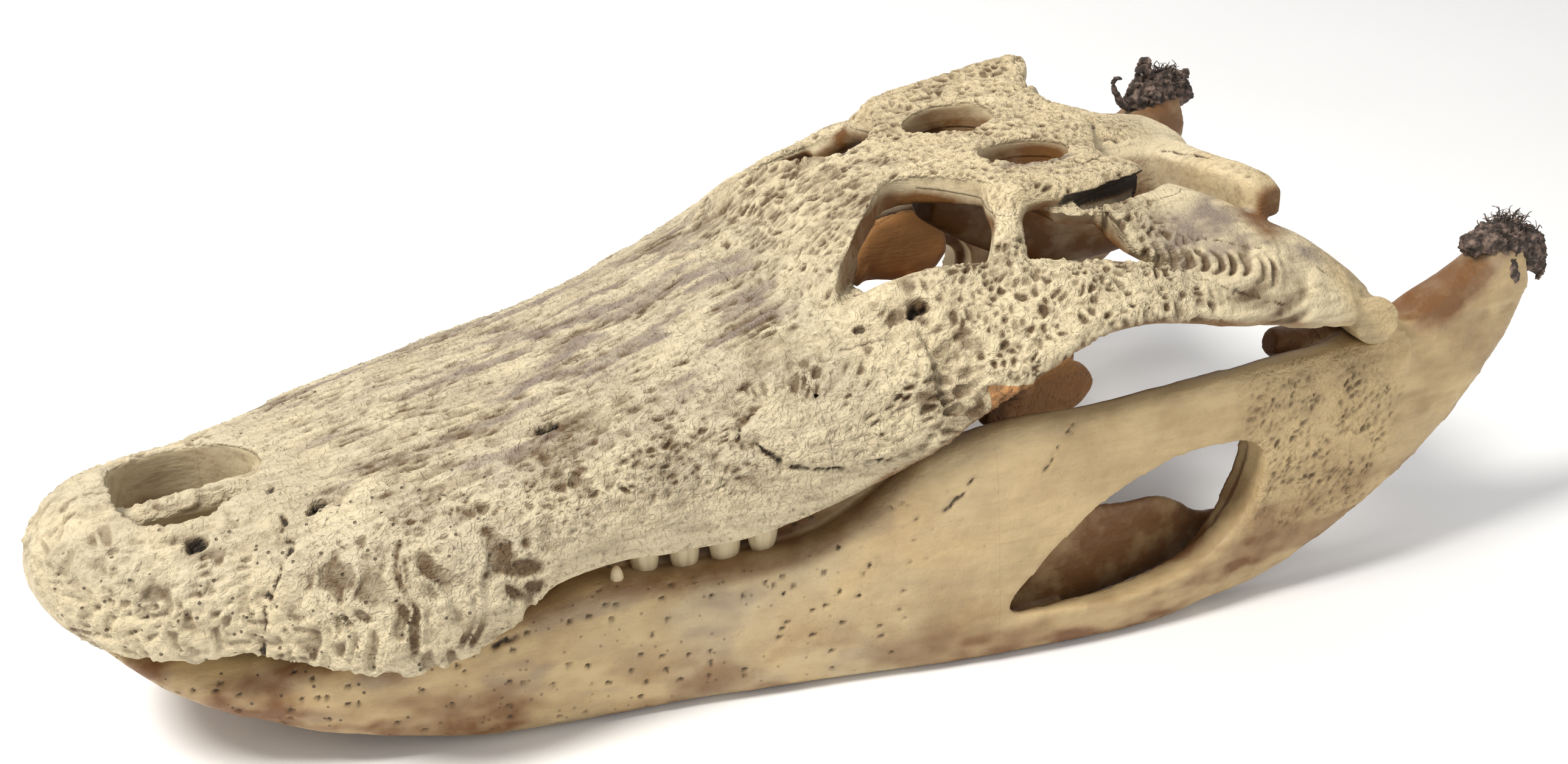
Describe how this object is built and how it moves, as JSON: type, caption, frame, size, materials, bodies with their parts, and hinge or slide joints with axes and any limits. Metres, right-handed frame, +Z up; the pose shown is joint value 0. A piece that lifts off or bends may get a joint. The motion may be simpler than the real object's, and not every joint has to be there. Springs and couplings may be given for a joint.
{
  "type": "alligator skull",
  "caption": "Dry skull of an alligator resting on its closed lower jaw, with broad snout, orbits, skull table and tissue on the back tips of the jaw.",
  "frame": {"origin": "under the middle of the bounding box, at the height of the surface the jaw rests on", "axes": "+X from the snout towards the back of the skull, +Y towards the animal's right side, +Z up"},
  "size_m": [0.5355, 0.2344, 0.1665],
  "materials": {
    "bone": "dry weathered bone, cream to grey-beige, matt",
    "stained_bone": "bone stained brown inside the throat, matt",
    "jaw_bone": "smooth yellow-tan bone, satin",
    "dried_tissue": "dark curled dry fibres"
  },
  "bodies": {
    "root": {"premaxillae": "bone", "maxillae": "bone", "frontal": "bone", "skull_table": "bone", "brain_case": "bone", "jugal_left": "bone", "jugal_right": "bone", "maxilla_end_left": "bone", "maxilla_end_right": "bone", "paroccipital_left": "bone", "paroccipital_right": "bone", "quadrate_left": "bone", "quadrate_right": "bone", "palate": "stained_bone", "pterygoid_wing_left": "stained_bone", "pterygoid_wing_right": "stained_bone", "dentary_left": "jaw_bone", "dentary_right": "jaw_bone", "surangular_left": "jaw_bone", "surangular_right": "jaw_bone", "angular_left": "jaw_bone", "angular_right": "jaw_bone", "articular_left": "jaw_bone", "articular_right": "jaw_bone", "tissue_left": "dried_tissue", "tissue_right": "dried_tissue"}
  },
  "joints": []
}
